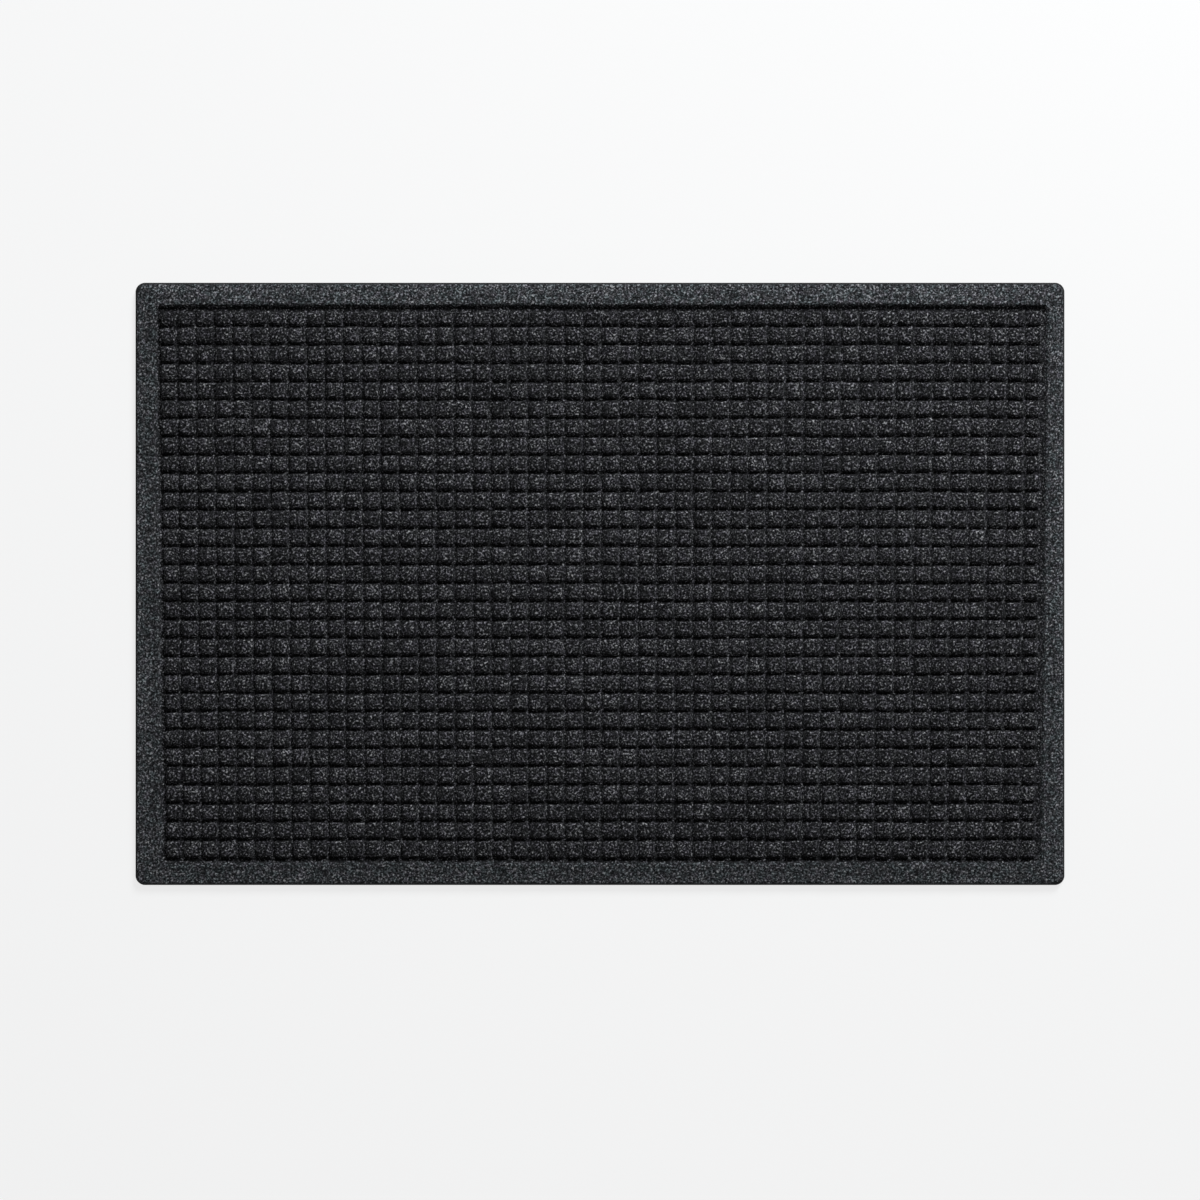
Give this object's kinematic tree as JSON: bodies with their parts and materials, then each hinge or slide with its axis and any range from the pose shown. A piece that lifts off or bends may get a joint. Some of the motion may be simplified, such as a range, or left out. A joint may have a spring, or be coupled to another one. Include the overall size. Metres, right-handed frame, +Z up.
{
  "type": "door mat",
  "caption": "Rectangular scraper door mat: fabric face with a grid of raised squares inside a raised sloping border, on a flat rubber backing.",
  "frame": {"origin": "centre of the underside, on the floor that the mat lies on", "axes": "+X along the long side, +Y along the short side, +Z up from the floor"},
  "size_m": [0.876, 0.568, 0.0095],
  "materials": {
    "backing_rubber": "matt moulded rubber with a fine cloth-like grain",
    "carrier_weave": "plain woven polypropylene cloth, inside the mat",
    "heather_fabric": "matt needle-punched polypropylene, black fibres flecked with light grey"
  },
  "bodies": {
    "root": {"rubber_backing": "backing_rubber", "carrier_cloth": "carrier_weave", "face_fabric": "heather_fabric"}
  },
  "joints": []
}
